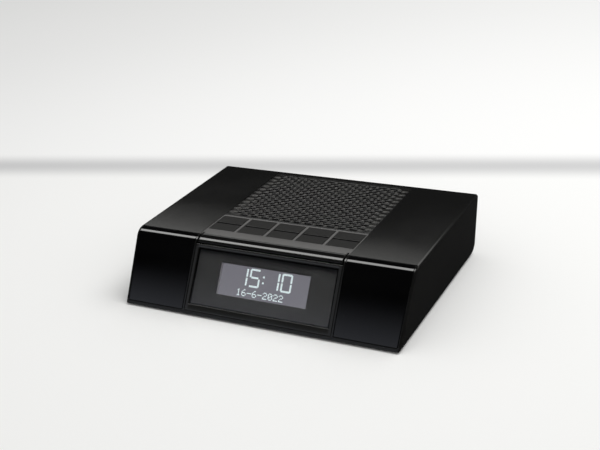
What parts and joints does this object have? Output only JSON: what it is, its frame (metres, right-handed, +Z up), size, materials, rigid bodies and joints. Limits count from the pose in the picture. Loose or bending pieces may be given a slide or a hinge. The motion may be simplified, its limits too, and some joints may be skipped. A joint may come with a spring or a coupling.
{
  "type": "tabletop radio",
  "caption": "Low tabletop clock radio with a slanted glossy front, a small matrix display, two rows of keys, a snooze bar and a slotted speaker grille.",
  "frame": {"origin": "on the surface it stands on, under the middle of the housing's outline", "axes": "+Z up, the display faces -Y, +X to the right of someone who reads the display"},
  "size_m": [0.1798, 0.136, 0.04],
  "materials": {
    "shell_satin": "satin black moulded plastic with a very fine grain",
    "base_satin": "satin black moulded plastic",
    "panel_gloss": "high gloss black",
    "bezel_satin": "semi-gloss black",
    "bar_gloss": "semi-gloss black",
    "lens_clear": "clear flat window with a fine anti-glare surface",
    "mask_print": "dark grey printed surround",
    "holder_grey": "plain grey plastic",
    "lcd_glass": "matrix display with pale lit dots",
    "light_guide": "white diffuser",
    "circuit_board": "green solder mask",
    "key_satin": "satin charcoal plastic",
    "frame_satin": "satin dark grey plastic",
    "switch_black": "black moulded switch case",
    "plunger_brown": "brown moulded plunger",
    "grille_satin": "satin black moulded plastic",
    "cloth_black": "thin black acoustic cloth",
    "foam_black": "black foam",
    "basket_steel": "black painted pressed steel",
    "steel_zinc": "zinc plated steel",
    "ferrite": "dark ferrite",
    "paper_cone": "black pressed paper",
    "surround_rubber": "soft black rubber",
    "coil_copper": "copper winding",
    "spider_cloth": "resin treated cloth",
    "shield_tin": "tinned steel can",
    "chip_black": "black moulded package",
    "capacitor_sleeve": "dark sleeve",
    "jack_black": "black moulded socket",
    "ribbon_white": "white flat flexible cable",
    "wire_red": "wire insulation",
    "screw_zinc": "zinc plated steel",
    "foot_rubber": "black rubber"
  },
  "bodies": {
    "housing": {"top_cover": "shell_satin", "base_cover": "base_satin", "front_panel_left": "panel_gloss", "front_panel_right": "panel_gloss", "display_bezel": "bezel_satin", "display_lens": "lens_clear", "lens_mask": "mask_print", "lcd_holder": "holder_grey", "lcd_cell": "lcd_glass", "lcd_backlight": "light_guide", "display_board": "circuit_board", "display_screws": "screw_zinc", "key_frame": "frame_satin", "key_board": "circuit_board", "tact_switches": "switch_black", "speaker_grille": "grille_satin", "grille_cloth": "cloth_black", "speaker_gasket": "foam_black", "speaker_basket": "basket_steel", "speaker_surround": "surround_rubber", "speaker_cone": "paper_cone", "dust_cap": "paper_cone", "voice_coil": "coil_copper", "spider": "spider_cloth", "speaker_magnet": "ferrite", "speaker_pole_pieces": "steel_zinc", "main_board": "circuit_board", "tuner_shield": "shield_tin", "board_chips": "chip_black", "capacitors": "capacitor_sleeve", "dc_jack": "jack_black", "headphone_jack": "jack_black", "aerial_grommet": "foot_rubber", "ribbon_cables": "ribbon_white", "speaker_leads": "wire_red", "feet": "foot_rubber", "cover_screws": "screw_zinc", "small_screws": "screw_zinc"},
    "snooze_bar": {"snooze_bar": "bar_gloss", "snooze_plungers": "plunger_brown"},
    "key_rear_1": {"key_rear_1": "key_satin", "plunger_rear_1": "plunger_brown"},
    "key_rear_2": {"key_rear_2": "key_satin", "plunger_rear_2": "plunger_brown"},
    "key_rear_3": {"key_rear_3": "key_satin", "plunger_rear_3": "plunger_brown"},
    "key_rear_4": {"key_rear_4": "key_satin", "plunger_rear_4": "plunger_brown"},
    "key_rear_5": {"key_rear_5": "key_satin", "plunger_rear_5": "plunger_brown"},
    "key_front_1": {"key_front_1": "key_satin", "plunger_front_1": "plunger_brown"},
    "key_front_2": {"key_front_2": "key_satin", "plunger_front_2": "plunger_brown"},
    "key_front_3": {"key_front_3": "key_satin", "plunger_front_3": "plunger_brown"},
    "key_front_4": {"key_front_4": "key_satin", "plunger_front_4": "plunger_brown"},
    "key_front_5": {"key_front_5": "key_satin", "plunger_front_5": "plunger_brown"}
  },
  "joints": [
    {"name": "press_snooze", "type": "slide", "parent": "housing", "child": "snooze_bar", "axis": [0, 0, -1], "range_m": [0, 0.0005], "stiffness_N_per_m": 900, "springref_m": -0.0005},
    {"name": "press_rear_1", "type": "slide", "parent": "housing", "child": "key_rear_1", "axis": [0, 0, -1], "range_m": [0, 0.0005], "stiffness_N_per_m": 600, "springref_m": -0.0005},
    {"name": "press_rear_2", "type": "slide", "parent": "housing", "child": "key_rear_2", "axis": [0, 0, -1], "range_m": [0, 0.0005], "stiffness_N_per_m": 600, "springref_m": -0.0005},
    {"name": "press_rear_3", "type": "slide", "parent": "housing", "child": "key_rear_3", "axis": [0, 0, -1], "range_m": [0, 0.0005], "stiffness_N_per_m": 600, "springref_m": -0.0005},
    {"name": "press_rear_4", "type": "slide", "parent": "housing", "child": "key_rear_4", "axis": [0, 0, -1], "range_m": [0, 0.0005], "stiffness_N_per_m": 600, "springref_m": -0.0005},
    {"name": "press_rear_5", "type": "slide", "parent": "housing", "child": "key_rear_5", "axis": [0, 0, -1], "range_m": [0, 0.0005], "stiffness_N_per_m": 600, "springref_m": -0.0005},
    {"name": "press_front_1", "type": "slide", "parent": "housing", "child": "key_front_1", "axis": [0, 0, -1], "range_m": [0, 0.0005], "stiffness_N_per_m": 600, "springref_m": -0.0005},
    {"name": "press_front_2", "type": "slide", "parent": "housing", "child": "key_front_2", "axis": [0, 0, -1], "range_m": [0, 0.0005], "stiffness_N_per_m": 600, "springref_m": -0.0005},
    {"name": "press_front_3", "type": "slide", "parent": "housing", "child": "key_front_3", "axis": [0, 0, -1], "range_m": [0, 0.0005], "stiffness_N_per_m": 600, "springref_m": -0.0005},
    {"name": "press_front_4", "type": "slide", "parent": "housing", "child": "key_front_4", "axis": [0, 0, -1], "range_m": [0, 0.0005], "stiffness_N_per_m": 600, "springref_m": -0.0005},
    {"name": "press_front_5", "type": "slide", "parent": "housing", "child": "key_front_5", "axis": [0, 0, -1], "range_m": [0, 0.0005], "stiffness_N_per_m": 600, "springref_m": -0.0005}
  ]
}
